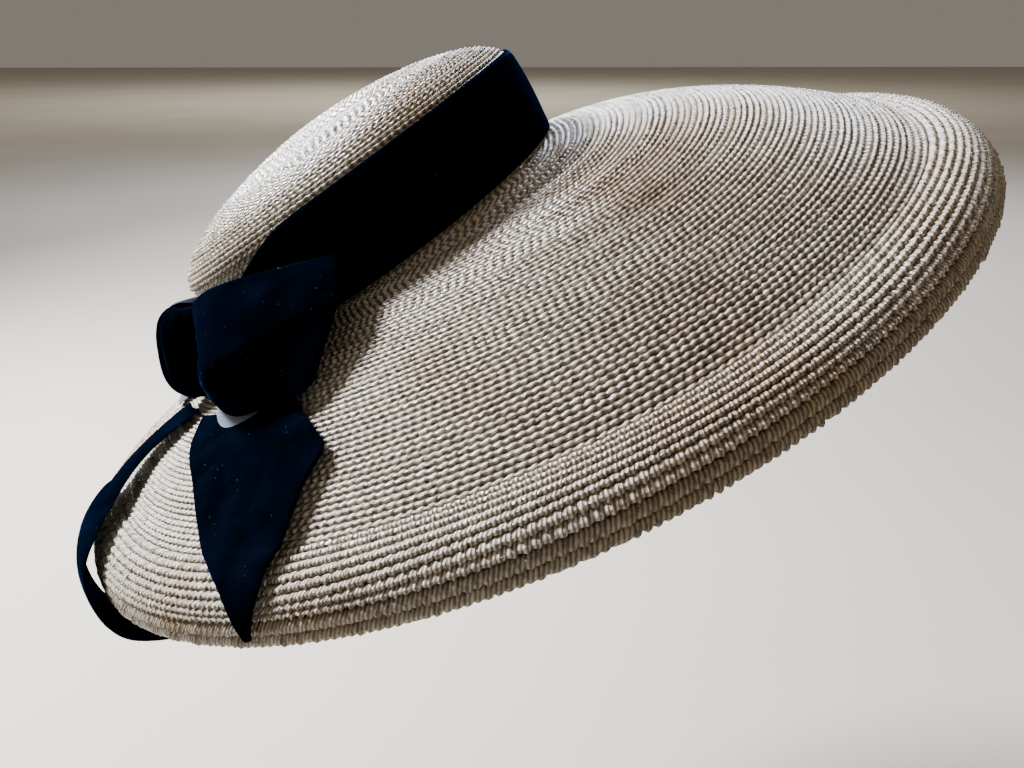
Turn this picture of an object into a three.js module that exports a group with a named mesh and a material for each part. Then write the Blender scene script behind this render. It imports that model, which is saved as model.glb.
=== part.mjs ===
// Wide-brimmed straw picture hat with a velvet ribbon round its low crown and a bow at the back.
// Millimetres, +Z up. The origin is the middle of the head opening, where a head carries the hat.
// +X is the front of the hat, -X the back with the bow, and the hat is worn tipped back.
import * as THREE from 'three';
import { mergeVertices } from 'three/addons/utils/BufferGeometryUtils.js';

// How the hat sits
const wornTilt = 24.6;
const crownLean = 9.3;

// Crown
const crownHalfLength = 86.5;
const crownHalfWidth = 83.5;
const crownSideHeight = 34.5;
const crownFlare = 2.5;
const domeHeight = 28;
const shoulderRoundness = 1.15;
const strawWall = 1.8;

// Brim
const brimHalfLength = 212.8;
const brimHalfWidth = 211;
const brimForward = 32.5;
const grooveDepth = 39.5;
const rimDrop = 56.5;
const frontSteepness = 2;
const backSteepness = 1.35;
const steepnessChangeStart = -0.2;
const edgeBandWidth = 20.5;
const brimWave = 2.4;
const edgeBraidWidth = 9;
const edgeBraidWall = 2.6;

// Ribbon band
const ribbonWall = 1.2;
const bandHeight = 39;
const bandDip = 16;
const dipHalfStart = 8;
const dipHalfEnd = 52;

// Bow
const bowAngle = 32;
const loopStand = 20;
const loopSpan = 56;
const knotHalfHeight = 22;
const knotHalfDepth = 12;
const knotHalfWidth = 12.5;
const knotFold = 1.6;
const knotStand = 8.5;
const knotLift = 2.6;
const knotReach = 0.42;
const knotEndShare = 0.86;
const knotSquareness = 3;
const tailStand = 6;
const tailHang = 46;
const bridgeSpan = 0.12;
const loopClearance = 1.8;
const tailArchStart = 0.2;

// Clearances
const seamGap = 0.3;
const restGap = 0.9;

// Facets
const brimColumns = 64;
const brimRows = 16;
const edgeRows = 3;
const crownColumns = 52;
const crownSideRows = 4;
const crownDomeRows = 8;
const bandRows = 4;
const ribbonAcross = 5;
const loopSteps = 30;
const tailSteps = 24;
const knotRings = 8;
const knotSides = 20;
const fineStep = 1e-3;

const radians = THREE.MathUtils.degToRad;
const mix = THREE.MathUtils.lerp;
const smooth = THREE.MathUtils.smoothstep;
const clamp = THREE.MathUtils.clamp;
const up = new THREE.Vector3(0, 0, 1);

const straw = new THREE.MeshStandardMaterial({ color: 0xcdbfa5, roughness: 0.55, metalness: 0 });
const edgeStraw = new THREE.MeshStandardMaterial({ color: 0xa8916b, roughness: 0.5, metalness: 0 });
const velvet = new THREE.MeshStandardMaterial({ color: 0x0b1020, roughness: 0.9, metalness: 0 });

// Points and faces of a closed wall: one skin on each side of a surface, joined along its edges.
// surface(a, b) gives the middle of the wall; a runs across it and b along it. A round wall closes
// on itself along b, and a wall with a pole shrinks to one point at a = 1.
function wallGeometry(surface, thickness, across, along, { round = false, pole = false } = {}) {
  const skins = [1, -1].map((side) => skinPoints(surface, side * thickness / 2, across, along, round, pole));
  const points = skins.flat();
  const columns = round ? along : along + 1;
  const rows = pole ? across : across + 1;
  const skinSize = skins[0].length;
  const at = (skin, row, column) => {
    const c = round ? column % columns : column;
    return skin * skinSize + (pole && row === across ? rows * columns : row * columns + c);
  };
  const faces = [];
  const quad = (p, q, r, s) => faces.push([p, q, r], [p, r, s]);
  for (let row = 0; row < across; row += 1) {
    for (let c = 0; c < along; c += 1) {
      quad(at(0, row, c), at(0, row + 1, c), at(0, row + 1, c + 1), at(0, row, c + 1));
      quad(at(1, row, c), at(1, row, c + 1), at(1, row + 1, c + 1), at(1, row + 1, c));
    }
  }
  for (let c = 0; c < along; c += 1) {
    quad(at(0, 0, c), at(0, 0, c + 1), at(1, 0, c + 1), at(1, 0, c));
    if (!pole) quad(at(0, across, c), at(1, across, c), at(1, across, c + 1), at(0, across, c + 1));
  }
  for (let row = 0; row < across && !round; row += 1) {
    quad(at(0, row, 0), at(1, row, 0), at(1, row + 1, 0), at(0, row + 1, 0));
    quad(at(0, row, along), at(0, row + 1, along), at(1, row + 1, along), at(1, row, along));
  }
  return bodyOf(points, faces);
}

// One skin of a wall, at a distance from the wall's middle along its normal.
function skinPoints(surface, offset, across, along, round, pole) {
  const points = [];
  const columns = round ? along : along + 1;
  for (let row = 0; row <= across; row += 1) {
    const atPole = pole && row === across;
    for (let c = 0; c < (atPole ? 1 : columns); c += 1) {
      const a = row / across;
      const b = c / along;
      points.push(surface(a, b).addScaledVector(normalAt(surface, a, b, atPole, round), offset));
    }
  }
  return points;
}

function normalAt(surface, a, b, atPole, round, acrossStep = fineStep) {
  if (atPole) return up.clone();
  const alongBefore = round ? b - fineStep : Math.max(b - fineStep, 0);
  const alongAfter = round ? b + fineStep : Math.min(b + fineStep, 1);
  const alongWall = surface(a, alongAfter).sub(surface(a, alongBefore));
  const acrossWall = surface(Math.min(a + acrossStep, 1), b).sub(surface(Math.max(a - acrossStep, 0), b));
  return alongWall.cross(acrossWall).normalize();
}

// A closed body from points and triangles, with every face turned outward.
function bodyOf(points, faces) {
  const real = faces.filter(([p, q, r]) => p !== q && q !== r && r !== p);
  const volume = real.reduce((sum, [p, q, r]) => sum + points[p].dot(points[q].clone().cross(points[r])), 0);
  const turned = volume < 0 ? real.map(([p, q, r]) => [p, r, q]) : real;
  const geometry = new THREE.BufferGeometry();
  geometry.setAttribute('position', new THREE.Float32BufferAttribute(points.flatMap((p) => p.toArray()), 3));
  geometry.setIndex(turned.flat());
  const body = mergeVertices(geometry, 1e-5);
  body.computeVertexNormals();
  return body;
}

// Values between the rows of a table, along a smooth curve, for share 0 at its first row to 1 at its last.
function rowAt(table, share) {
  const place = clamp(share, 0, 1) * (table.length - 1);
  const i = Math.min(Math.floor(place), table.length - 2);
  const t = place - i;
  const row = (k) => table[clamp(k, 0, table.length - 1)];
  return Object.fromEntries(Object.keys(table[0]).map((column) => {
    const [p, q, r, s] = [row(i - 1), row(i), row(i + 1), row(i + 2)].map((entry) => entry[column]);
    const bend = 2 * p - 5 * q + 4 * r - s;
    return [column, q + 0.5 * t * (r - p + t * (bend + t * (3 * (q - r) + s - p)))];
  }));
}

// A place in the crown's own frame, at a turn round it and standing off its outer face. The side
// flares up to the shoulder, and the dome draws in above it.
function roundCrown(turn, height, standOff) {
  const flare = crownFlare * Math.sin(Math.min(height / crownSideHeight, 1) * Math.PI / 2);
  const rise = Math.asin(clamp((height - crownSideHeight) / domeHeight, 0, 1));
  const inward = Math.cos(rise) ** shoulderRoundness;
  const x = ((crownHalfLength + flare) * inward + standOff) * Math.cos(turn);
  const y = ((crownHalfWidth + flare) * inward + standOff) * Math.sin(turn);
  return new THREE.Vector3(x, y, height);
}

// The crown leans back on the brim, so its places are turned into the hat's frame.
function besideCrown(turn, height, standOff) {
  return roundCrown(turn, height, standOff).applyAxisAngle(new THREE.Vector3(0, 1, 0), -radians(crownLean));
}

// The middle of the brim's wall. Reach 0 is under the crown's edge, 1 the bottom of the groove,
// and 2 the rim.
function brimPoint(reach, turn) {
  const inner = besideCrown(turn, 0, -strawWall);
  const groove = new THREE.Vector3(
    brimForward + (brimHalfLength - edgeBandWidth) * Math.cos(turn),
    (brimHalfWidth - edgeBandWidth) * Math.sin(turn),
    brimWave * Math.cos(2 * turn) - grooveDepth,
  );
  const slope = clamp(reach, 0, 1);
  const roll = clamp(reach - 1, 0, 1) * Math.PI / 2;
  const steepness = mix(frontSteepness, backSteepness, smooth(-Math.cos(turn), steepnessChangeStart, 1));
  return new THREE.Vector3(
    mix(inner.x, groove.x, slope) + edgeBandWidth * Math.cos(turn) * Math.sin(roll),
    mix(inner.y, groove.y, slope) + edgeBandWidth * Math.sin(turn) * Math.sin(roll),
    mix(inner.z, groove.z, slope ** steepness) - (rimDrop - grooveDepth) * (1 - Math.cos(roll)),
  );
}

// A place above the brim, lifted off its upper face. Ribbon bridges the groove, so the lift turns gently there.
function aboveBrim(reach, turn, lift) {
  const surface = (a, b) => brimPoint(a * 2, b * 2 * Math.PI);
  const a = clamp(reach / 2, 0, 1);
  const normal = normalAt(surface, a, turn / (2 * Math.PI), false, true, bridgeSpan / 2);
  const outward = normal.z < 0 ? normal.negate() : normal;
  return brimPoint(reach, turn).addScaledVector(outward, strawWall / 2 + lift);
}

function crownWall(a, b) {
  const turn = b * 2 * Math.PI;
  const base = seamGap + strawWall * (0.5 + Math.sin(radians(crownLean)));
  const sideShare = crownSideRows / (crownSideRows + crownDomeRows);
  if (a <= sideShare) return roundCrown(turn, mix(base, crownSideHeight, a / sideShare), -strawWall / 2);
  const rise = (a - sideShare) / (1 - sideShare) * Math.PI / 2;
  const inward = Math.cos(rise) ** shoulderRoundness;
  const ring = roundCrown(turn, crownSideHeight, -strawWall / 2);
  return new THREE.Vector3(ring.x * inward, ring.y * inward, crownSideHeight + domeHeight * Math.sin(rise));
}

// The ribbon's upper edge dips towards the knot, where the ribbon is drawn together.
function bandTop(turn) {
  const fromBow = Math.abs(Math.atan2(Math.sin(turn - bowTurn(0)), Math.cos(turn - bowTurn(0))));
  return bandHeight - bandDip * (1 - smooth(fromBow, radians(dipHalfStart), radians(dipHalfEnd)));
}

// The last row of the band turns in over the crown's shoulder.
function bandWall(a, b) {
  const turn = b * 2 * Math.PI;
  const foot = strawWall + seamGap;
  const top = bandTop(turn);
  const turnIn = Math.max(bandHeight - crownSideHeight, bandHeight / (2 * bandRows));
  const lowerShare = 1 - 1 / bandRows;
  const height = a < lowerShare
    ? mix(foot, top - turnIn, a / lowerShare)
    : mix(top - turnIn, top, (a - lowerShare) * bandRows);
  return roundCrown(turn, height, 2 * seamGap + ribbonWall / 2);
}

// The turn round the hat of a place beside the knot: positive degrees run along the near side.
function bowTurn(degrees) {
  return Math.PI + radians(bowAngle + degrees);
}

// Sections of a bow loop from the knot, out along its outer side, round its end and back beside the crown.
// Turns are shares of the loop's span from the knot's side to its far end, heights are shares of the ribbon
// band's height, stands, lifts and bellies are shares of the loop's stand, and reaches are places on the brim.
const loopSections = [
  { topTurn: 0, topHeight: 0.62, topStand: 0.8, footTurn: 0, footReach: 0.44, footLift: 0.16, belly: 0.1 },
  { topTurn: 0.18, topHeight: 0.9, topStand: 0.85, footTurn: 0.2, footReach: 0.52, footLift: 0.2, belly: 0.3 },
  { topTurn: 0.44, topHeight: 0.9, topStand: 0.72, footTurn: 0.36, footReach: 0.57, footLift: 0.22, belly: 0.38 },
  { topTurn: 0.72, topHeight: 0.7, topStand: 0.58, footTurn: 0.52, footReach: 0.59, footLift: 0.26, belly: 0.38 },
  { topTurn: 0.93, topHeight: 0.5, topStand: 0.48, footTurn: 0.64, footReach: 0.57, footLift: 0.3, belly: 0.36 },
  { topTurn: 1, topHeight: 0.46, topStand: 0.3, footTurn: 0.69, footReach: 0.5, footLift: 0.26, belly: 0.2 },
  { topTurn: 0.93, topHeight: 0.45, topStand: 0.12, footTurn: 0.64, footReach: 0.42, footLift: 0.14, belly: 0.1 },
  { topTurn: 0.72, topHeight: 0.46, topStand: 0.04, footTurn: 0.5, footReach: 0.35, footLift: 0.06, belly: 0.05 },
  { topTurn: 0.4, topHeight: 0.46, topStand: 0.04, footTurn: 0.3, footReach: 0.31, footLift: 0.04, belly: 0.05 },
  { topTurn: 0.02, topHeight: 0.44, topStand: 0.36, footTurn: 0.02, footReach: 0.32, footLift: 0.06, belly: 0.05 },
];

// The turn from the knot at a share of the loop's span, starting beside the knot.
function loopTurn(share) {
  const besideKnot = Math.atan2(knotHalfWidth + 2 * ribbonWall + restGap, crownHalfLength + knotStand + knotHalfDepth);
  return mix(THREE.MathUtils.radToDeg(besideKnot), loopSpan, share);
}

// side is 1 for the loop on the near side of the bow and -1 for the one beyond it.
function loopWall(side) {
  return (a, b) => {
    const row = rowAt(loopSections, b);
    const top = besideCrown(bowTurn(side * loopTurn(row.topTurn)), bandHeight * row.topHeight,
      loopClearance + 2 * seamGap + loopStand * row.topStand);
    const footLift = ribbonWall / 2 + loopStand * row.footLift;
    const foot = aboveBrim(row.footReach, bowTurn(side * loopTurn(row.footTurn)), footLift);
    const out = new THREE.Vector3(top.x + foot.x, top.y + foot.y, 0).normalize().add(up).normalize();
    return top.lerp(foot, a).addScaledVector(out, loopStand * row.belly * Math.sin(Math.PI * a));
  };
}

// Sections of the tail that lies on the near side of the brim, from under the loop to its pointed end.
// Turns are degrees from the knot, and lifts are shares of the ribbon's stand over the brim.
const nearTailSections = [
  { reach: 0.48, backTurn: 11, frontTurn: 33, lift: 0 },
  { reach: 0.58, backTurn: 14, frontTurn: 39, lift: 0.05 },
  { reach: 0.7, backTurn: 18, frontTurn: 41.5, lift: 0.3 },
  { reach: 0.8, backTurn: 21, frontTurn: 41.8, lift: 0.4 },
  { reach: 0.89, backTurn: 23.5, frontTurn: 39, lift: 0.55 },
  { reach: 1, backTurn: 26.5, frontTurn: 37, lift: 0.6 },
  { reach: 1.25, backTurn: 29.4, frontTurn: 36, lift: 0.4 },
  { reach: 1.5, backTurn: 32, frontTurn: 35.5, lift: 0.25 },
  { reach: 1.8, backTurn: 33.8, frontTurn: 34.5, lift: 0.15 },
];

function nearTailWall(a, b) {
  const row = rowAt(nearTailSections, b);
  const arch = Math.sin(Math.PI * mix(tailArchStart, 1 - tailArchStart, a));
  const lift = restGap + ribbonWall / 2 + tailStand * row.lift * arch;
  return aboveBrim(row.reach, bowTurn(mix(row.backTurn, row.frontTurn, a)), lift);
}

// Sections of the tail that falls over the back of the brim and hangs below its rim. Past the rim, hang is
// the share of the hanging length below it, out the share of that length beyond it, and the turns go on.
const backTailSections = [
  { reach: 0.5, hang: 0, out: 0, nearTurn: 9, farTurn: -7, lift: 0 },
  { reach: 0.7, hang: 0, out: 0, nearTurn: 9, farTurn: -8, lift: 0.4 },
  { reach: 0.95, hang: 0, out: 0, nearTurn: 8, farTurn: -9, lift: 0.6 },
  { reach: 1.3, hang: 0, out: 0, nearTurn: 8, farTurn: -9, lift: 0.6 },
  { reach: 1.8, hang: 0, out: 0.02, nearTurn: 6, farTurn: -8, lift: 0.5 },
  { reach: 2, hang: 0.14, out: 0.1, nearTurn: 6, farTurn: -6, lift: 0.3 },
  { reach: 2, hang: 0.36, out: 0.02, nearTurn: 9, farTurn: -2, lift: 0.3 },
  { reach: 2, hang: 0.46, out: -0.3, nearTurn: 14, farTurn: 4, lift: 0.3 },
  { reach: 2, hang: 0.54, out: -0.7, nearTurn: 20, farTurn: 11, lift: 0.3 },
];

function backTailWall(a, b) {
  const row = rowAt(backTailSections, b);
  const turn = bowTurn(mix(row.nearTurn, row.farTurn, a));
  const reach = Math.min(row.reach, 2);
  const place = aboveBrim(reach, turn, restGap + ribbonWall / 2 + tailStand * row.lift);
  place.x += tailHang * row.out * Math.cos(turn);
  place.y += tailHang * row.out * Math.sin(turn);
  place.z -= tailHang * row.hang;
  return place;
}

// The knot is a wrap of ribbon with folds down it, fullest at its middle.
function knotGeometry() {
  const points = [];
  const faces = [];
  for (let ring = 0; ring < knotRings; ring += 1) {
    const rise = mix(-knotEndShare, knotEndShare, ring / (knotRings - 1));
    const fullness = Math.sqrt(1 - Math.abs(rise) ** knotSquareness);
    for (let side = 0; side < knotSides; side += 1) {
      const turn = side / knotSides * 2 * Math.PI;
      const fold = 1 - knotFold / knotHalfWidth * (side % 2);
      const x = knotHalfDepth * fullness * fold * Math.cos(turn);
      const y = knotHalfWidth * fullness * fold * Math.sin(turn);
      points.push(new THREE.Vector3(x, y, knotHalfHeight * rise / knotEndShare));
    }
  }
  const bottom = points.push(new THREE.Vector3(0, 0, -knotHalfHeight)) - 1;
  const top = points.push(new THREE.Vector3(0, 0, knotHalfHeight)) - 1;
  for (let side = 0; side < knotSides; side += 1) {
    const next = (side + 1) % knotSides;
    for (let ring = 0; ring < knotRings - 1; ring += 1) {
      const [p, q] = [ring * knotSides + side, ring * knotSides + next];
      faces.push([p, q, q + knotSides], [p, q + knotSides, p + knotSides]);
    }
    faces.push([bottom, next, side]);
    faces.push([top, (knotRings - 1) * knotSides + side, (knotRings - 1) * knotSides + next]);
  }
  return bodyOf(points, faces);
}

// The edge braid is the last stretch of the brim, of thicker plait, a seam away from the rest.
function brimReachAt(fromRim) {
  return 2 - Math.asin(Math.min(fromRim / edgeBandWidth, 1)) / (Math.PI / 2);
}

function piece(name, geometry, material) {
  const mesh = new THREE.Mesh(geometry, material);
  mesh.name = name;
  return mesh;
}

const brimEnd = brimReachAt(edgeBraidWidth);
const braidStart = brimReachAt(edgeBraidWidth - seamGap * 2);
const brimWall = (a, b) => brimPoint(a * brimEnd, b * 2 * Math.PI);
const edgeWall = (a, b) => brimPoint(mix(braidStart, 2, a), b * 2 * Math.PI);

const roundWall = { round: true };
const domedWall = { round: true, pole: true };
const crownRows = crownSideRows + crownDomeRows;

const crownGroup = new THREE.Group();
crownGroup.rotation.y = -radians(crownLean);
crownGroup.add(
  piece('crown', wallGeometry(crownWall, strawWall, crownRows, crownColumns, domedWall), straw),
  piece('ribbon_band', wallGeometry(bandWall, ribbonWall, bandRows, crownColumns, roundWall), velvet),
);

const knot = piece('bow_knot', knotGeometry(), velvet);
const knotSeat = besideCrown(bowTurn(0), 0, ribbonWall + 3 * seamGap + knotHalfDepth + knotStand);
const knotRest = aboveBrim(knotReach, bowTurn(0), restGap);
knot.position.set(knotSeat.x, knotSeat.y, knotRest.z + knotHalfHeight + knotLift);
knot.rotation.set(0, radians(wornTilt), bowTurn(0), 'YZX');

const hat = new THREE.Group();
hat.rotation.y = -radians(wornTilt);
hat.add(
  crownGroup,
  piece('brim', wallGeometry(brimWall, strawWall, brimRows, brimColumns, roundWall), straw),
  piece('edge_braid', wallGeometry(edgeWall, edgeBraidWall, edgeRows, brimColumns, roundWall), edgeStraw),
  piece('bow_loop_near', wallGeometry(loopWall(1), ribbonWall, ribbonAcross, loopSteps), velvet),
  piece('bow_loop_far', wallGeometry(loopWall(-1), ribbonWall, ribbonAcross, loopSteps), velvet),
  knot,
  piece('bow_tail_near', wallGeometry(nearTailWall, ribbonWall, ribbonAcross, tailSteps), velvet),
  piece('bow_tail_back', wallGeometry(backTailWall, ribbonWall, ribbonAcross, tailSteps), velvet),
);

const model = new THREE.Group();
model.add(hat);
export default model;
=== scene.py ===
import math

import bpy
import numpy as np
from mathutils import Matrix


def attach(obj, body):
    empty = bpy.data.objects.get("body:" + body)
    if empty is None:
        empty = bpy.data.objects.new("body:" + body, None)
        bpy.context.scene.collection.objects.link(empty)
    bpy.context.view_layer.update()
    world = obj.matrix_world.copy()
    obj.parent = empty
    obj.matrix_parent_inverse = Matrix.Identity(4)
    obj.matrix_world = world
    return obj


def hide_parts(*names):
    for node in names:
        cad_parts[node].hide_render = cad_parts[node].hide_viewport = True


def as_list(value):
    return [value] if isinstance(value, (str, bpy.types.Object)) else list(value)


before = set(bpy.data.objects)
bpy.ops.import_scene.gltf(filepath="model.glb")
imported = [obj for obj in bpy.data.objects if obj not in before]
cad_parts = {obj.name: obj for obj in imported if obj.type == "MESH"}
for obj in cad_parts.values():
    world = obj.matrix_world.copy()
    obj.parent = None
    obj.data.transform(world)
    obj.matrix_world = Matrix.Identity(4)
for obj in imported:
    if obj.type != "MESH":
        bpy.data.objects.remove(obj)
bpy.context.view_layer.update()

# A wide straw hat sewn from braid, with a velvet ribbon and bow. Lengths here are millimetres in the
# hat's own level frame, +X to the front; everything is tipped back as worn and turned to metres at the end.
MM = 0.001
draw = np.random.default_rng(11)

# How the hat sits
WORN_TILT = 24.6
CROWN_LEAN = 9.3

# Crown
CROWN_HALF_LENGTH = 86.5
CROWN_HALF_WIDTH = 83.5
CROWN_SIDE = 34.5
CROWN_FLARE = 2.5
DOME_HEIGHT = 28.0
SHOULDER = 1.15
STRAW_WALL = 1.8

# Brim
BRIM_HALF_LENGTH = 212.8
BRIM_HALF_WIDTH = 211.0
BRIM_FORWARD = 32.5
GROOVE_DEPTH = 39.5
RIM_DROP = 56.5
FRONT_STEEPNESS = 2.0
BACK_STEEPNESS = 1.35
EDGE_BAND = 20.5
BRIM_WAVE = 2.4
EDGE_BRAID = 9.0

# Ribbon and bow
BAND_HEIGHT = 39.0
BAND_DIP = 16.0
DIP_START = 8.0
DIP_END = 52.0
BOW_ANGLE = 32.0
LOOP_STAND = 20.0
LOOP_SPAN = 56.0
KNOT_HALF_HEIGHT = 20.5
KNOT_HALF_DEPTH = 12.0
KNOT_HALF_WIDTH = 12.5
KNOT_STAND = 8.5
KNOT_LIFT = 0.6
KNOT_REACH = 0.42
TAIL_STAND = 6.0
TAIL_HANG = 46.0
VELVET = 1.0
SEAM_GAP = 0.3
REST_GAP = 0.9

# Braid
ROW_PITCH = 2.05
BEAD = 3.4
BEAD_STEPS = 3
CROWDING = 0.15
EDGE_ROWS = 8
BAND_RELIEF = 1.15
BAND_STROKES = 2.4
RIM_RUN = 26.7

# How ribbon spans hollows, eases over them and fills out
BRIDGE = 0.2
TAIL_EASE = 0.08
LOOP_SWELL = 7.0


def tipped(points, degrees):
    """Turned about Y so that the front rises."""
    c, s = math.cos(math.radians(degrees)), math.sin(math.radians(degrees))
    x, y, z = points[..., 0], points[..., 1], points[..., 2]
    return np.stack([x * c - z * s, y, x * s + z * c], -1)


def smooth(x, low, high):
    t = np.clip((x - low) / (high - low), 0, 1)
    return t * t * (3 - 2 * t)


def unit(vectors):
    return vectors / np.maximum(np.linalg.norm(vectors, axis=-1, keepdims=True), 1e-12)


def spline(table, share):
    """Values on a smooth curve through a table's rows, from share 0 at the first to 1 at the last."""
    place = np.clip(share, 0, 1) * (len(table) - 1)
    i = np.minimum(place.astype(int), len(table) - 2)
    t = place - i
    found = {}
    for column in table[0]:
        values = np.array([row[column] for row in table])
        p, q, r, s = (values[np.clip(i + k, 0, len(table) - 1)] for k in (-1, 0, 1, 2))
        bend = 2 * p - 5 * q + 4 * r - s
        found[column] = q + 0.5 * t * (r - p + t * (bend + t * (3 * (q - r) + s - p)))
    return found


def normals(surface, a, b, step=1e-3, wide=None):
    """Unit normals of surface(a, b), on the side that faces up or outward. wide is a longer step across."""
    span = wide or step
    across = surface(a + span, b) - surface(a - span, b)
    along = surface(a, b + step) - surface(a, b - step)
    return unit(np.cross(along, across))


# Crown: climb 0 is its edge, 1 its shoulder and 2 the middle of the tip
def crown_place(climb, turn, stand=0.0):
    """A place on the outer face of the crown, in its own upright frame."""
    side = np.clip(climb, 0, 1)
    rise = np.clip(climb - 1, 0, 0.9999) * np.pi / 2
    flare = CROWN_FLARE * np.sin(side * np.pi / 2)
    inward = np.cos(rise) ** SHOULDER
    x = ((CROWN_HALF_LENGTH + flare) * inward + stand * np.cos(rise)) * np.cos(turn)
    y = ((CROWN_HALF_WIDTH + flare) * inward + stand * np.cos(rise)) * np.sin(turn)
    z = np.minimum(climb, side) * CROWN_SIDE + DOME_HEIGHT * np.sin(rise) + stand * np.sin(rise)
    return tipped(np.stack(np.broadcast_arrays(x, y, z), -1), CROWN_LEAN)


def beside_crown(turn, height, stand):
    climb = np.where(
        height < CROWN_SIDE,
        height / CROWN_SIDE,
        1 + np.arcsin(np.clip((height - CROWN_SIDE) / DOME_HEIGHT, 0, 1)) * 2 / np.pi,
    )
    flare = CROWN_FLARE * np.sin(np.clip(climb, 0, 1) * np.pi / 2)
    inward = np.cos(np.clip(climb - 1, 0, 1) * np.pi / 2) ** SHOULDER
    x = ((CROWN_HALF_LENGTH + flare) * inward + stand) * np.cos(turn)
    y = ((CROWN_HALF_WIDTH + flare) * inward + stand) * np.sin(turn)
    return tipped(np.stack(np.broadcast_arrays(x, y, height), -1), CROWN_LEAN)


# Brim: reach 0 is under the crown's edge, 1 the bottom of the groove and 2 the rim
def brim_place(reach, turn):
    """A place in the middle of the brim's wall."""
    reach, turn = np.broadcast_arrays(reach, turn)
    c, s = np.cos(turn), np.sin(turn)
    inner = beside_crown(turn, np.zeros_like(turn), -STRAW_WALL)
    slope = np.clip(reach, -0.02, 1)
    roll = np.clip(reach - 1, 0, 1) * np.pi / 2
    steepness = FRONT_STEEPNESS + (BACK_STEEPNESS - FRONT_STEEPNESS) * smooth(-c, -0.2, 1)
    groove_x = BRIM_FORWARD + (BRIM_HALF_LENGTH - EDGE_BAND) * c
    groove_y = (BRIM_HALF_WIDTH - EDGE_BAND) * s
    groove_z = BRIM_WAVE * np.cos(2 * turn) - GROOVE_DEPTH
    drop = np.clip(slope, 0, 1) ** steepness
    return np.stack([
        inner[..., 0] + (groove_x - inner[..., 0]) * slope + EDGE_BAND * c * np.sin(roll),
        inner[..., 1] + (groove_y - inner[..., 1]) * slope + EDGE_BAND * s * np.sin(roll),
        inner[..., 2] + (groove_z - inner[..., 2]) * drop - (RIM_DROP - GROOVE_DEPTH) * (1 - np.cos(roll))
        - RIM_RUN * np.maximum(reach - 2, 0),
    ], -1)


def above_brim(reach, turn, lift):
    """A place lifted off the brim's upper face. Ribbon bridges the groove, so its lift turns gently there."""
    reach, turn = np.broadcast_arrays(reach, turn)
    held = np.clip(reach, BRIDGE, 2 - BRIDGE / 2)
    out = normals(brim_place, held, turn, 0.01, BRIDGE)
    out = np.where(out[..., 2:] < 0, -out, out)
    return brim_place(reach, turn) + out * (STRAW_WALL / 2 + np.asarray(lift))[..., None]


# Rows of braid between the groove and the crown, counted at turns from the front. Rows run parallel to
# the groove, so some of them pass under the crown towards the back.
ROW_COUNTS = [
    {"turn": 0, "rows": 59}, {"turn": 20, "rows": 61}, {"turn": 40, "rows": 65}, {"turn": 55, "rows": 65},
    {"turn": 70, "rows": 60}, {"turn": 85, "rows": 54}, {"turn": 100, "rows": 48}, {"turn": 120, "rows": 43},
    {"turn": 180, "rows": 42},
]
FINE = np.radians(np.arange(0, 360, 0.5))


def softened_counts():
    """The row counts round the hat, with the corners between the table's turns rounded off."""
    off_front = np.degrees(np.abs((FINE + np.pi) % (2 * np.pi) - np.pi))
    counts = np.interp(off_front, [r["turn"] for r in ROW_COUNTS], [r["rows"] for r in ROW_COUNTS])
    kernel = np.hanning(61) / np.hanning(61).sum()
    return np.convolve(np.tile(counts, 3), kernel, "same")[len(FINE):2 * len(FINE)]


COUNTS = softened_counts()


def rows_at_crown(turn):
    return np.interp(turn % (2 * np.pi), np.append(FINE, 2 * np.pi), np.append(COUNTS, COUNTS[0]))


def brim_rows_place(rows_in, turn):
    """The brim's wall at a count of rows in from the groove. Negative counts lie on the rolled edge band."""
    waver = 0.16 * np.sin(3 * turn + 0.11 * rows_in) + 0.12 * np.sin(7 * turn + 1.3 + 0.23 * rows_in)
    waver = waver * (1 + 1.6 * smooth(-rows_in, -3, 3)) * smooth(-rows_in, -EDGE_ROWS - 30, 0)
    waver = waver * smooth(rows_in, -EDGE_ROWS, -EDGE_ROWS + 2)
    count = rows_in + waver
    share = np.maximum(count, 0) / rows_at_crown(turn)
    root = np.sqrt(np.maximum((1 + CROWDING) ** 2 - 4 * CROWDING * share, 0))
    inner = 1 - (1 + CROWDING - root) / (2 * CROWDING)
    band_step = (2 - math.asin(EDGE_BRAID / EDGE_BAND) / (math.pi / 2) - 1) / EDGE_ROWS
    outer = 1 - np.minimum(count, 0) * band_step
    return brim_place(np.where(count > 0, inner, outer), turn)


# Crown rows at even steps of braid from the edge up to the middle of the tip
CLIMBS = np.linspace(0.02, 1.985, 600)
CROWN_PROFILE = crown_place(CLIMBS, np.zeros_like(CLIMBS))
CROWN_LENGTHS = np.append(0, np.cumsum(np.linalg.norm(np.diff(CROWN_PROFILE, axis=0), axis=1)))
CROWN_ROWS = int(CROWN_LENGTHS[-1] / ROW_PITCH)


def crown_rows_place(rows_in, turn):
    """The middle of the crown's wall at a count of rows from its edge."""
    climb = np.interp(rows_in * CROWN_LENGTHS[-1] / CROWN_ROWS, CROWN_LENGTHS, CLIMBS)
    return crown_place(climb, turn, -STRAW_WALL / 2)


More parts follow.
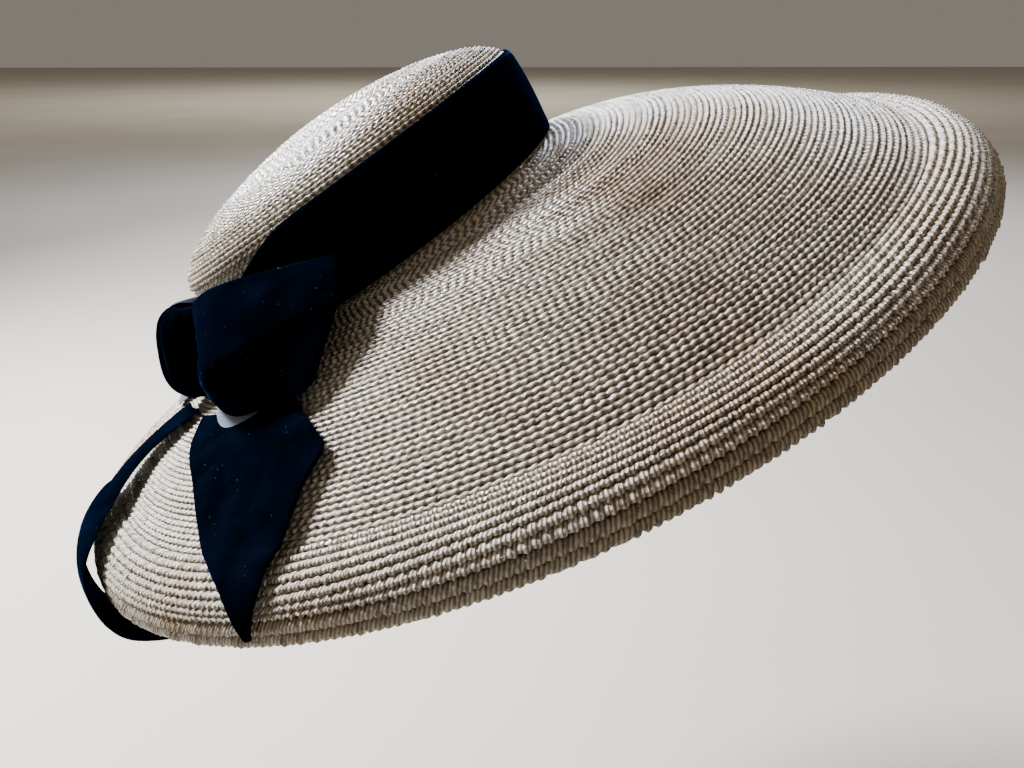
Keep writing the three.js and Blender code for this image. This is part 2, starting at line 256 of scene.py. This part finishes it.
# Section of one row of braid from its inner edge, tucked under the row before, to its raised outer edge.
# Lift is off the wall's middle, bead and wave are how far the plait's lumps raise and shift each corner.
BRAID_SECTION = [
    {"across": -0.34, "lift": -0.5, "bead": 0.0, "wave": 0.0, "v": 0.0},
    {"across": 0.2, "lift": 0.5, "bead": 0.22, "wave": 0.06, "v": 0.3},
    {"across": 0.62, "lift": 1.2, "bead": 0.34, "wave": 0.1, "v": 0.6},
    {"across": 0.97, "lift": 0.8, "bead": 0.26, "wave": 0.17, "v": 0.85},
    {"across": 0.9, "lift": -0.75, "bead": 0.0, "wave": 0.0, "v": 1.0},
]
STRAND_LEAN = 0.3


def even_turns(place, middle):
    """Turns at even bead steps along a row, each bead with the same number of steps."""
    around = np.linspace(0, 2 * np.pi, 361)
    points = place(np.full_like(around, middle), around)
    lengths = np.append(0, np.cumsum(np.linalg.norm(np.diff(points, axis=0), axis=1)))
    beads = max(int(round(lengths[-1] / BEAD)), 6)
    return np.interp(np.linspace(0, lengths[-1], beads * BEAD_STEPS, endpoint=False), lengths, around)


def braid_row(place, inner, relief, strokes):
    """Points and UVs of one closed row of braid whose inner edge lies at a row count."""
    turns = even_turns(place, inner - 0.5)
    steps = np.arange(len(turns))
    uneven = np.repeat(draw.normal(1, 0.3, len(turns) // BEAD_STEPS), BEAD_STEPS)
    first, offset = draw.uniform(0, 1), draw.uniform(0, 40)
    rings, maps = [], []
    for corner in BRAID_SECTION:
        twist = np.sin(2 * np.pi * (steps / BEAD_STEPS + first - STRAND_LEAN * corner["v"])) * uneven
        count = inner - corner["across"] - corner["wave"] * twist
        out = normals(place, count, turns)
        out = np.where((out[..., 2] < 0)[..., None], -out, out)
        lift = (corner["lift"] + corner["bead"] * twist) * relief
        rings.append(place(count, turns) + out * lift[..., None])
        along = (offset + steps / BEAD_STEPS + first) * strokes
        maps.append(np.stack([along, np.full(len(steps), corner["v"])], -1))
    return np.array(rings), np.array(maps), turns


def ring_faces(corners, steps, kept):
    """Quads round a closed section, along the steps that are kept."""
    i = np.arange(steps)
    after = (i + 1) % steps
    i, after = i[kept & kept[after]], after[kept & kept[after]]
    faces = []
    for corner in range(corners):
        beside = (corner + 1) % corners
        faces.append(np.stack([
            corner * steps + i, corner * steps + after, beside * steps + after, beside * steps + i,
        ], -1))
    return np.concatenate(faces)


def mesh_piece(name, points, faces, uvs, material):
    """A mesh object of quads from points in the level hat frame, tipped as worn and turned to metres."""
    points = tipped(points, WORN_TILT) * MM
    p = points[faces]
    volume = (np.einsum("ij,ij->i", p[:, 0], np.cross(p[:, 1], p[:, 2]))
              + np.einsum("ij,ij->i", p[:, 0], np.cross(p[:, 2], p[:, 3]))).sum()
    if volume < 0:
        faces = faces[:, ::-1]
    mesh = bpy.data.meshes.new(name)
    mesh.vertices.add(len(points))
    mesh.vertices.foreach_set("co", points.ravel())
    mesh.loops.add(faces.size)
    mesh.loops.foreach_set("vertex_index", faces.ravel())
    mesh.polygons.add(len(faces))
    mesh.polygons.foreach_set("loop_start", np.arange(0, faces.size, 4))
    mesh.polygons.foreach_set("use_smooth", np.ones(len(faces), bool))
    mesh.update(calc_edges=True)
    layer = mesh.uv_layers.new(name="UVMap")
    layer.data.foreach_set("uv", uvs[faces.ravel()].ravel())
    mesh.materials.append(material)
    piece = bpy.data.objects.new(name, mesh)
    bpy.context.collection.objects.link(piece)
    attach(piece, "root")
    return piece


def braid_piece(name, place, rows, material, kept_where=None, relief=1.0, strokes=1.0):
    """One piece of many closed rows of braid."""
    points, faces, uvs, start = [], [], [], 0
    for inner in rows:
        rings, maps, turns = braid_row(place, inner, relief, strokes)
        corners, steps = rings.shape[:2]
        kept = np.ones(steps, bool) if kept_where is None else kept_where(inner, turns)
        faces.append(ring_faces(corners, steps, kept) + start)
        points.append(rings.reshape(-1, 3))
        uvs.append(maps.reshape(-1, 2))
        start += corners * steps
    faces = np.concatenate(faces)
    used, again = np.unique(faces, return_inverse=True)
    return mesh_piece(name, np.concatenate(points)[used], again.reshape(faces.shape),
                      np.concatenate(uvs)[used], material)


# Ribbon walls
def ribbon_piece(name, surface, across, along, material, back=None, closed=False):
    """A closed ribbon wall about surface(a, b), with a across it and b along it. back is a material and
    the skin that shows it: 0 for the one on the side of the surface's normals and 1 for the other."""
    a = np.linspace(0, 1, across + 1)[:, None]
    b = np.linspace(0, 1, along + 1)[None, :]
    if closed:
        b = b[:, :-1]
    a, b = np.broadcast_arrays(a, b)
    middle, out = surface(a, b), normals(surface, a, b)
    rounded = np.sqrt(np.clip(1 - (2 * a - 1) ** 16, 0.05, 1))[..., None]
    columns = b.shape[1]
    skins = [middle + side * out * rounded * VELVET / 2 for side in (1, -1)]
    points = np.concatenate([s.reshape(-1, 3) for s in skins])
    uv = np.stack([b, a], -1).reshape(-1, 2)
    size = (across + 1) * columns
    grid = np.arange(size).reshape(across + 1, columns)
    if closed:
        grid = np.concatenate([grid, grid[:, :1]], 1)
    front = np.stack([grid[:-1, :-1], grid[1:, :-1], grid[1:, 1:], grid[:-1, 1:]], -1).reshape(-1, 4)
    rim = [(grid[0, :-1], grid[0, 1:]), (grid[-1, 1:], grid[-1, :-1])]
    if not closed:
        rim += [(grid[1:, 0], grid[:-1, 0]), (grid[:-1, -1], grid[1:, -1])]
    sides = [np.stack([p, q, q + size, p + size], -1) for p, q in rim]
    faces = np.concatenate([front, front[:, ::-1] + size, *sides])
    piece = mesh_piece(name, points, faces, np.concatenate([uv, uv]), material)
    if back is not None:
        woven, skin = back
        piece.data.materials.append(woven)
        skin_faces = np.zeros(len(faces), int)
        skin_faces[skin * len(front):(skin + 1) * len(front)] = 1
        piece.data.polygons.foreach_set("material_index", skin_faces)
    return piece


def bow_turn(degrees):
    """The turn round the hat of a place beside the knot: positive degrees run along the near side."""
    return np.pi + np.radians(BOW_ANGLE + degrees)


def off_bow(turn):
    """How far round the hat a turn lies from the knot, either way."""
    return np.abs((turn - bow_turn(0) + np.pi) % (2 * np.pi) - np.pi)


def band_top(turn):
    """The ribbon's upper edge dips towards the knot."""
    past_dip = smooth(off_bow(turn), math.radians(DIP_START), math.radians(DIP_END))
    return BAND_HEIGHT - BAND_DIP * (1 - past_dip)


DRAWN_CREASES = 0.9
SLACK_CREASES = 0.25
BAND_EASE = 0.5


def band_surface(a, b):
    turn = b * 2 * np.pi
    foot = STRAW_WALL + SEAM_GAP
    height = foot + (band_top(turn) - foot) * a
    drawn = 1 - smooth(off_bow(turn), 0.1, 1.0)
    creases = DRAWN_CREASES * drawn * np.sin(a * 21 + 3 * np.sin(turn * 5))
    creases = creases + SLACK_CREASES * np.sin(turn * 9 + 4 * a)
    stand = 2 * SEAM_GAP + VELVET / 2 + BAND_EASE + np.abs(creases)
    return beside_crown(turn, height, stand)


# Sections of a bow loop from the knot, out along its outer side, round its end and back beside the crown.
# Ridge is the share of the way down it where a fold stands out.
LOOP_COLUMNS = ("topTurn", "topHeight", "topStand", "footTurn", "footReach", "footLift", "belly", "ridge")
LOOP_SECTIONS = [dict(zip(LOOP_COLUMNS, values)) for values in (
    (0, 0.5, 0.2, 0, 0.32, 0.3, 0.04, 0.85),
    (0.16, 0.8, 0.52, 0.16, 0.43, 0.2, 0.18, 0.86),
    (0.44, 0.9, 0.74, 0.34, 0.52, 0.22, 0.42, 0.72),
    (0.74, 0.74, 0.62, 0.52, 0.54, 0.24, 0.36, 0.55),
    (0.95, 0.56, 0.5, 0.64, 0.54, 0.24, 0.22, 0.45),
    (1, 0.5, 0.32, 0.69, 0.5, 0.2, 0.12, 0.42),
    (0.93, 0.46, 0.12, 0.64, 0.44, 0.12, 0.06, 0.45),
    (0.72, 0.46, 0.04, 0.48, 0.5, 0.06, 0.03, 0.5),
    (0.4, 0.46, 0.04, 0.24, 0.56, 0.05, 0.03, 0.5),
    (0.02, 0.44, 0.1, 0.02, 0.32, 0.06, 0.03, 0.5),
)]
LOOP_CLEARANCE = 2.4 * VELVET
LOOP_SEAT = 1.8 * VELVET + 2 * SEAM_GAP
SWELL_SPREAD = 0.12
PLEATED_SHARE = 0.26
BROAD_PLEATS = 0.06
FINE_PLEATS = 0.03


def loop_turn(share):
    beside_knot = math.degrees(math.atan2(
        KNOT_HALF_WIDTH + LOOP_CLEARANCE + REST_GAP, CROWN_HALF_LENGTH + KNOT_STAND + KNOT_HALF_DEPTH))
    return beside_knot + (LOOP_SPAN - beside_knot) * share


def loop_surface(side):
    """side is 1 for the loop on the near side of the bow and -1 for the one beyond it."""
    def surface(a, b):
        row = spline(LOOP_SECTIONS, b)
        top_turn = bow_turn(side * loop_turn(row["topTurn"]))
        top = beside_crown(top_turn, BAND_HEIGHT * row["topHeight"], LOOP_SEAT + LOOP_STAND * row["topStand"])
        foot = above_brim(row["footReach"], bow_turn(side * loop_turn(row["footTurn"])),
                          VELVET + LOOP_STAND * row["footLift"])
        out = unit(unit((top + foot) * [1, 1, 0]) + [0, 0, 1])
        onward = np.stack([-np.sin(top_turn), np.cos(top_turn), np.zeros_like(top_turn)], -1) * side
        rise = np.where(a < row["ridge"], a / row["ridge"], (1 - a) / (1 - row["ridge"]))
        fold = rise * (1.35 - 0.35 * rise)
        near_knot = 1 - smooth(np.minimum(b, 1 - b), 0, PLEATED_SHARE)
        waves = BROAD_PLEATS * np.sin(6 * np.pi * a + 0.8) + FINE_PLEATS * np.sin(14 * np.pi * a)
        pleats = near_knot * waves
        soft = 0.02 * np.sin(7 * a + 16 * b) + 0.015 * np.sin(15 * a - 9 * b)
        held_edges = np.sqrt(np.clip(np.sin(np.pi * a), 0, 1))
        bulge = LOOP_STAND * (row["belly"] * fold + (pleats + soft) * held_edges)
        swell = LOOP_SWELL * np.exp(-((b - 0.5) / SWELL_SPREAD) ** 2) * fold
        return top + (foot - top) * a[..., None] + out * bulge[..., None] + onward * swell[..., None]
    return surface


# The near tail lies on the brim, widens over the slope and narrows to a point on the edge band
NEAR_TAIL = [
    {"reach": 0.46, "backTurn": 8, "frontTurn": 36, "lift": 0},
    {"reach": 0.58, "backTurn": 10, "frontTurn": 38.3, "lift": 0.05},
    {"reach": 0.68, "backTurn": 14, "frontTurn": 40.5, "lift": 0.25},
    {"reach": 0.75, "backTurn": 17.5, "frontTurn": 41.3, "lift": 0.4},
    {"reach": 0.86, "backTurn": 21, "frontTurn": 38, "lift": 0.5},
    {"reach": 1, "backTurn": 24, "frontTurn": 36, "lift": 0.5},
    {"reach": 1.25, "backTurn": 27.5, "frontTurn": 35, "lift": 0.35},
    {"reach": 1.5, "backTurn": 30.3, "frontTurn": 34.3, "lift": 0.2},
    {"reach": 1.86, "backTurn": 32.4, "frontTurn": 33, "lift": 0.1},
]
TAIL_BILLOW = 0.3


def near_tail_surface(a, b):
    row = spline(NEAR_TAIL, b)
    billow = TAIL_BILLOW * np.sin(9 * b + 2 * a) * np.sin(np.pi * a)
    arch = TAIL_STAND * row["lift"] * np.sin(np.pi * (0.2 + 0.6 * a))
    lift = REST_GAP + VELVET + arch + billow + TAIL_BILLOW
    turn = bow_turn(row["backTurn"] + (row["frontTurn"] - row["backTurn"]) * a)
    return sum(above_brim(row["reach"] + ease, turn, lift) for ease in (-TAIL_EASE, 0, TAIL_EASE)) / 3


# The back tail falls over the rim and its end turns under it
BACK_TAIL = [
    {"reach": 0.44, "hang": 0, "out": 0, "nearTurn": 4, "farTurn": -8, "lift": 0.1},
    {"reach": 0.7, "hang": 0, "out": 0, "nearTurn": -3, "farTurn": -12, "lift": 0.5},
    {"reach": 0.95, "hang": 0, "out": 0, "nearTurn": -1, "farTurn": -12, "lift": 0.9},
    {"reach": 1.3, "hang": 0, "out": 0, "nearTurn": 3, "farTurn": -11, "lift": 0.8},
    {"reach": 1.8, "hang": 0, "out": 0.02, "nearTurn": 5, "farTurn": -8, "lift": 0.6},
    {"reach": 2, "hang": 0.12, "out": 0.06, "nearTurn": 7, "farTurn": -6, "lift": 0.3},
    {"reach": 2, "hang": 0.27, "out": -0.02, "nearTurn": 9, "farTurn": -3, "lift": 0.3},
    {"reach": 2, "hang": 0.36, "out": -0.3, "nearTurn": 14, "farTurn": 3, "lift": 0.3},
    {"reach": 2, "hang": 0.46, "out": -0.7, "nearTurn": 19, "farTurn": 9, "lift": 0.3},
]


def back_tail_surface(a, b):
    row = spline(BACK_TAIL, b)
    turn = bow_turn(row["nearTurn"] + (row["farTurn"] - row["nearTurn"]) * a)
    lift = REST_GAP + VELVET + TAIL_STAND * row["lift"] * (1 - 0.5 * (a - 0.3) ** 2)
    place = above_brim(np.minimum(row["reach"], 2), turn, lift)
    outward = np.stack([np.cos(turn), np.sin(turn), np.zeros_like(turn)], -1)
    out, hang = TAIL_HANG * row["out"], TAIL_HANG * row["hang"]
    return place + outward * out[..., None] - [0, 0, 1] * hang[..., None]


KNOT_SEAT = 1.2 + 3 * SEAM_GAP
KNOT_OVERWRAP = 1.0
KNOT_ENDS = 0.97
BROAD_FOLDS = 0.06
FINE_FOLDS = 0.035


def knot_centre():
    seat = beside_crown(np.array(bow_turn(0)), np.array(0.0), KNOT_SEAT + KNOT_HALF_DEPTH + KNOT_STAND)
    rest = above_brim(np.array(KNOT_REACH), np.array(bow_turn(0)), REST_GAP)
    return np.array([seat[0], seat[1], rest[2] + KNOT_HALF_HEIGHT + KNOT_LIFT])


def knot_surface(a, b):
    """A wrap of ribbon drawn tight round the bow's middle, with folds down it."""
    rise = KNOT_ENDS * (1 - 2 * a)
    turn = b * 2 * np.pi
    fullness = np.sqrt(1 - np.abs(rise) ** 3)
    broad = BROAD_FOLDS * (0.5 + 0.5 * np.sin(6 * turn + 1.2 * np.sin(3 * rise)))
    folds = 1 - broad - FINE_FOLDS * np.sin(11 * turn + 2 * rise)
    x = KNOT_HALF_DEPTH * fullness * folds * np.cos(turn)
    y = (KNOT_HALF_WIDTH + KNOT_OVERWRAP) * fullness * folds * np.sin(turn)
    c, s = math.cos(bow_turn(0)), math.sin(bow_turn(0))
    upright = np.stack([x * c - y * s, x * s + y * c, KNOT_HALF_HEIGHT * rise], -1)
    return tipped(upright, -WORN_TILT) + knot_centre()


# Edge plait: two broad rows round the rim, the last with nubs of straw turned back along it
EDGE_SECTION = [
    {"across": -0.34, "lift": -0.6, "bead": 0.0, "wave": 0.0, "v": 0.0},
    {"across": 0.16, "lift": 0.8, "bead": 0.25, "wave": 0.03, "v": 0.2},
    {"across": 0.5, "lift": 1.35, "bead": 0.3, "wave": 0.05, "v": 0.5},
    {"across": 0.86, "lift": 1.1, "bead": 0.25, "wave": 0.08, "v": 0.75},
    {"across": 1.0, "lift": 0.1, "bead": 0.2, "wave": 0.07, "v": 0.9},
    {"across": 0.86, "lift": -1.0, "bead": 0.0, "wave": 0.0, "v": 1.0},
]
EDGE_BEAD = 2.9
EDGE_STEPS = 3


def edge_place(rows_out, turn):
    start = 2 - math.asin((EDGE_BRAID - 2 * SEAM_GAP) / EDGE_BAND) / (math.pi / 2)
    return brim_place(start + (2 - start) * rows_out / 2, turn)


def edge_plait(material):
    points, faces, uvs, start = [], [], [], 0
    for row in range(2):
        beads = int(2 * np.pi * BRIM_HALF_WIDTH / EDGE_BEAD)
        steps = beads * EDGE_STEPS
        turns = np.linspace(0, 2 * np.pi, steps, endpoint=False)
        uneven = np.repeat(draw.normal(0.9, 0.6, beads), EDGE_STEPS)
        outward = np.stack([np.cos(turns), np.sin(turns), np.full(steps, 0.6)], -1)
        for corner in EDGE_SECTION:
            twist = np.sin(2 * np.pi * (np.arange(steps) / EDGE_STEPS + row / 2 - corner["v"] / 2)) * uneven
            count = row + corner["across"] + corner["wave"] * twist
            out = normals(edge_place, np.clip(count, 0.01, 1.99), turns)
            out = np.where((np.sum(out * outward, -1) < 0)[..., None], -out, out)
            lift = corner["lift"] + corner["bead"] * twist
            points.append(edge_place(count, turns) + out * lift[..., None])
            along = np.arange(steps) / EDGE_STEPS * 2 + row * 31.7
            uvs.append(np.stack([along, np.full(steps, corner["v"])], -1))
        faces.append(ring_faces(len(EDGE_SECTION), steps, np.ones(steps, bool)) + start)
        start += len(EDGE_SECTION) * steps
    return mesh_piece("edge_plait", np.concatenate(points), np.concatenate(faces),
                      np.concatenate(uvs), material)


# Materials
def colour(code):
    """An sRGB hex value as linear light."""
    channels = [int(code[i:i + 2], 16) / 255 for i in (1, 3, 5)]
    return [c / 12.92 if c <= 0.04045 else ((c + 0.055) / 1.055) ** 2.4 for c in channels] + [1.0]


def add_node(tree, kind, inputs=None, **settings):
    """Adds a node with its settings, and fills its sockets with values or with other nodes' outputs."""
    made = tree.nodes.new(kind)
    for key, value in settings.items():
        setattr(made, key, value)
    for socket, value in (inputs or {}).items():
        if isinstance(value, bpy.types.NodeSocket):
            tree.links.new(value, made.inputs[socket])
        else:
            made.inputs[socket].default_value = value
    return made


def new_material(name):
    material = bpy.data.materials.new(name)
    material.use_nodes = True
    material.node_tree.nodes.clear()
    return material, material.node_tree


def ramp(node, stops):
    """Sets a colour ramp's stops from pairs of place and hex value."""
    elements = node.color_ramp.elements
    while len(elements) < len(stops):
        elements.new(0.5)
    for element, (place, code) in zip(elements, stops):
        element.position = place
        element.color = colour(code)


def straw(name, light, warm, groove_shade, lean):
    """Natural straw, split and plaited: strands that lean over each row, glossy skin and duller pith, with
    shade painted dark into the grooves between strands.
    """
    material, tree = new_material(name)
    where = add_node(tree, "ShaderNodeTexCoord")
    leaning = add_node(tree, "ShaderNodeVectorMath", {0: where.outputs["UV"], 1: (1.0, lean, 0.0)},
                       operation="DOT_PRODUCT")
    strands = add_node(tree, "ShaderNodeTexWave", {
        "Vector": leaning.outputs["Value"], "Scale": 0.314,
        "Distortion": 1.6, "Detail": 2.0, "Detail Scale": 2.0})
    split = add_node(tree, "ShaderNodeMapping", {
        "Vector": where.outputs["UV"], "Rotation": (0.0, 0.0, 0.5), "Scale": (2.2, 10.0, 1.0)})
    fibres = add_node(tree, "ShaderNodeTexNoise", {
        "Vector": split.outputs["Vector"], "Scale": 2.0, "Detail": 2.0})
    height = add_node(tree, "ShaderNodeMath", {
        0: fibres.outputs["Fac"], 1: 0.7, 2: strands.outputs["Fac"]}, operation="MULTIPLY_ADD")
    bump = add_node(tree, "ShaderNodeBump", {
        "Height": height.outputs[0], "Strength": 1.0, "Distance": 0.45 * MM})
    stains = add_node(tree, "ShaderNodeTexNoise", {
        "Vector": where.outputs["Object"], "Scale": 13.0, "Detail": 3.0})
    toned = add_node(tree, "ShaderNodeValToRGB", {"Fac": stains.outputs["Fac"]})
    ramp(toned, [(0.46, light), (0.74, warm)])
    mottle = add_node(tree, "ShaderNodeTexNoise", {
        "Vector": where.outputs["Object"], "Scale": 420.0, "Detail": 2.0})
    # Painted shade: the third colour is mixed in where the strand relief is low, in the grooves between
    # strands, and broken up at random by the mottle.
    shade = add_node(tree, "ShaderNodeMath", {0: height.outputs[0], 1: mottle.outputs["Fac"]},
                     operation="MULTIPLY")
    painted_groove_shade = add_node(tree, "ShaderNodeMapRange", {
        "Value": shade.outputs[0], "From Min": 0.2, "From Max": 0.68, "To Min": 0.92, "To Max": 0.0})
    base = add_node(tree, "ShaderNodeMix", {0: painted_groove_shade.outputs[0], 6: toned.outputs["Color"], 7: colour(groove_shade)},
                    data_type="RGBA")
    gloss = add_node(tree, "ShaderNodeMapRange", {
        "Value": mottle.outputs["Fac"], "From Min": 0.3, "From Max": 0.7, "To Min": 0.2, "To Max": 0.45})
    shader = add_node(tree, "ShaderNodeBsdfPrincipled", {
        "Base Color": base.outputs[2], "Roughness": gloss.outputs[0], "Normal": bump.outputs["Normal"],
        "Specular IOR Level": 1.0})
    add_node(tree, "ShaderNodeOutputMaterial", {"Surface": shader.outputs[0]})
    return material


def velvet(name):
    """Cotton velvet ribbon: a short dense pile, nearly black face on, that turns blue along its edges."""
    material, tree = new_material(name)
    where = add_node(tree, "ShaderNodeTexCoord")
    nap = add_node(tree, "ShaderNodeTexNoise", {
        "Vector": where.outputs["Object"], "Scale": 70.0, "Detail": 4.0})
    base = add_node(tree, "ShaderNodeValToRGB", {"Fac": nap.outputs["Fac"]})
    ramp(base, [(0.35, "#000206"), (0.8, "#040814")])
    lint = add_node(tree, "ShaderNodeTexNoise", {
        "Vector": where.outputs["Object"], "Scale": 1100.0, "Detail": 0.0})
    specks = add_node(tree, "ShaderNodeMapRange", {
        "Value": lint.outputs["Fac"], "From Min": 0.84, "From Max": 0.88, "To Min": 0.0, "To Max": 0.14})
    flecked = add_node(tree, "ShaderNodeMix", {
        0: specks.outputs[0], 6: base.outputs["Color"], 7: colour("#7d93b5")}, data_type="RGBA")
    pile = add_node(tree, "ShaderNodeTexNoise", {
        "Vector": where.outputs["Object"], "Scale": 1300.0, "Detail": 1.0})
    bump = add_node(tree, "ShaderNodeBump", {
        "Height": pile.outputs["Fac"], "Strength": 0.5, "Distance": 0.4 * MM})
    shader = add_node(tree, "ShaderNodeBsdfPrincipled", {
        "Base Color": flecked.outputs[2], "Roughness": 0.95, "Normal": bump.outputs["Normal"],
        "Sheen Weight": 0.13, "Sheen Roughness": 0.2, "Sheen Tint": colour("#2458b4"),
        "Specular IOR Level": 0.0})
    add_node(tree, "ShaderNodeOutputMaterial", {"Surface": shader.outputs[0]})
    return material


def satin(name):
    """The ribbon's woven back: plain satin, pale grey-blue where it catches light."""
    material, tree = new_material(name)
    where = add_node(tree, "ShaderNodeTexCoord")
    threads = add_node(tree, "ShaderNodeTexNoise", {
        "Vector": where.outputs["Object"], "Scale": 900.0, "Detail": 2.0})
    base = add_node(tree, "ShaderNodeValToRGB", {"Fac": threads.outputs["Fac"]})
    ramp(base, [(0.3, "#3a4658"), (0.8, "#5d6d84")])
    shader = add_node(tree, "ShaderNodeBsdfPrincipled", {
        "Base Color": base.outputs["Color"], "Roughness": 0.4,
        "Sheen Weight": 0.2, "Specular IOR Level": 0.6})
    add_node(tree, "ShaderNodeOutputMaterial", {"Surface": shader.outputs[0]})
    return material


def painted_floor(name):
    """Matt pale studio floor."""
    material, tree = new_material(name)
    where = add_node(tree, "ShaderNodeTexCoord")
    cloud = add_node(tree, "ShaderNodeTexNoise", {
        "Vector": where.outputs["Object"], "Scale": 1.2, "Detail": 2.0})
    base = add_node(tree, "ShaderNodeValToRGB", {"Fac": cloud.outputs["Fac"]})
    ramp(base, [(0.3, "#b9b0a0"), (0.7, "#c2b9a9")])
    shader = add_node(tree, "ShaderNodeBsdfPrincipled", {
        "Base Color": base.outputs["Color"], "Roughness": 0.9})
    add_node(tree, "ShaderNodeOutputMaterial", {"Surface": shader.outputs[0]})
    return material


# Camera at the photo's place
def add_camera():
    data = bpy.data.cameras.new("photo_camera")
    data.sensor_width = 36.0
    data.lens = 27.11
    data.clip_start = 0.01
    camera = bpy.data.objects.new("photo_camera", data)
    camera.location = (0.03156, -0.37049, 0.07954)
    camera.rotation_euler = (math.radians(90 - 23.04), 0.0, math.radians(-3.715))
    bpy.context.collection.objects.link(camera)
    bpy.context.scene.camera = camera


def add_area_light(name, place, towards, size, power, tint):
    data = bpy.data.lights.new(name, "AREA")
    data.shape = "DISK"
    data.size = size
    data.energy = power
    data.color = colour(tint)[:3]
    light = bpy.data.objects.new(name, data)
    light.location = place
    aim = np.array(towards) - np.array(place)
    light.rotation_euler = (math.atan2(math.hypot(aim[0], aim[1]), -aim[2]), 0.0, math.atan2(-aim[0], aim[1]))
    bpy.context.collection.objects.link(light)


def add_floor(material):
    half, depth = 40.0, -0.42
    mesh = bpy.data.meshes.new("studio_floor")
    mesh.from_pydata([(-half, -half, depth), (half, -half, depth), (half, half, depth), (-half, half, depth)],
                     [], [(0, 1, 2, 3)])
    mesh.materials.append(material)
    floor = bpy.data.objects.new("studio_floor", mesh)
    bpy.context.collection.objects.link(floor)


def add_world():
    world = bpy.data.worlds.new("studio")
    world.use_nodes = True
    world.node_tree.nodes.clear()
    back = add_node(world.node_tree, "ShaderNodeBackground", {"Color": colour("#cfc7ba"), "Strength": 0.35})
    add_node(world.node_tree, "ShaderNodeOutputWorld", {"Surface": back.outputs[0]})
    bpy.context.scene.world = world


add_camera()
add_world()
add_area_light("window", (-0.95, 0.62, 0.85), (0.0, 0.0, 0.0), 0.35, 128.0, "#f4f7ff")
add_area_light("sky", (0.5, 2.6, 1.9), (0.1, 0.6, -0.3), 1.8, 165.0, "#dfe9ff")
add_area_light("room", (0.8, -1.2, 0.7), (0.0, 0.0, 0.0), 1.6, 2.4, "#fff0dc")
add_area_light("far_floor", (0.0, 9.0, 6.0), (0.0, 14.0, -0.4), 6.0, 700.0, "#f6f4f0")
add_floor(painted_floor("matt_floor"))

# The third colour of each straw is painted shade for the grooves between its strands.
BRAID_STRAW = straw("sewn_straw_braid", "#eee4d0","#bf9f74", "#503a24", 0.9)
EDGE_STRAW = straw("edge_straw_plait", "#b9ad93", "#a58554", "#46341d", 1.4)
PILE = velvet("navy_velvet")
SATIN = satin("ribbon_satin_back")


# Straw pieces
def brim_kept(inner, turns):
    return rows_at_crown(turns) + 0.8 > inner


TOP_ROW = int(max(COUNTS)) + 1
brim_parts = [
    braid_piece("brim_braid_inner", brim_rows_place, range(32, TOP_ROW + 1), BRAID_STRAW, brim_kept),
    braid_piece("brim_braid_middle", brim_rows_place, range(14, 32), BRAID_STRAW),
    braid_piece("brim_braid_outer", brim_rows_place, range(1, 14), BRAID_STRAW),
    braid_piece("brim_edge_band", brim_rows_place, range(1 - EDGE_ROWS, 1), BRAID_STRAW,
                relief=BAND_RELIEF, strokes=BAND_STROKES),
]
for part in brim_parts:
    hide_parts("brim")
crown_braid = braid_piece("crown_braid", crown_rows_place, range(1, CROWN_ROWS), BRAID_STRAW)
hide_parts("crown")
plait = edge_plait(EDGE_STRAW)
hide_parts("edge_braid")


# Ribbon pieces
def lay(surface, held, rests_on):
    """Samples a ribbon's surface on a grid along the middle of its wall and turns the places to metres;
    nothing more is done with them.
    """
    a, b = np.broadcast_arrays(np.linspace(0, 1, 61)[:, None], np.linspace(0, 1, 301)[None, :])
    places = surface(a, b) * MM
    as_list(rests_on)


ribbons = [
    ("velvet_band", band_surface, 26, 360, "ribbon_band", "stretched", None, [crown_braid]),
    ("velvet_loop_near", loop_surface(1), 40, 170, "bow_loop_near", "folded", (SATIN, 0), brim_parts[:2]),
    ("velvet_loop_far", loop_surface(-1), 40, 170, "bow_loop_far", "folded", (SATIN, 1), brim_parts[:2]),
    ("velvet_tail_near", near_tail_surface, 28, 120, "bow_tail_near", "laid", None, brim_parts),
    ("velvet_tail_back", back_tail_surface, 28, 140, "bow_tail_back", "draped", None, [*brim_parts, plait]),
    ("velvet_knot", knot_surface, 40, 80, "bow_knot", "folded", None, brim_parts[:2]),
]
for name, surface, across, along, node, held, back, rests_on in ribbons:
    ring = name in ("velvet_band", "velvet_knot")
    ribbon = ribbon_piece(name, surface, across, along, PILE, back=back, closed=ring)
    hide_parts(node)
    lay(surface, held, rests_on)
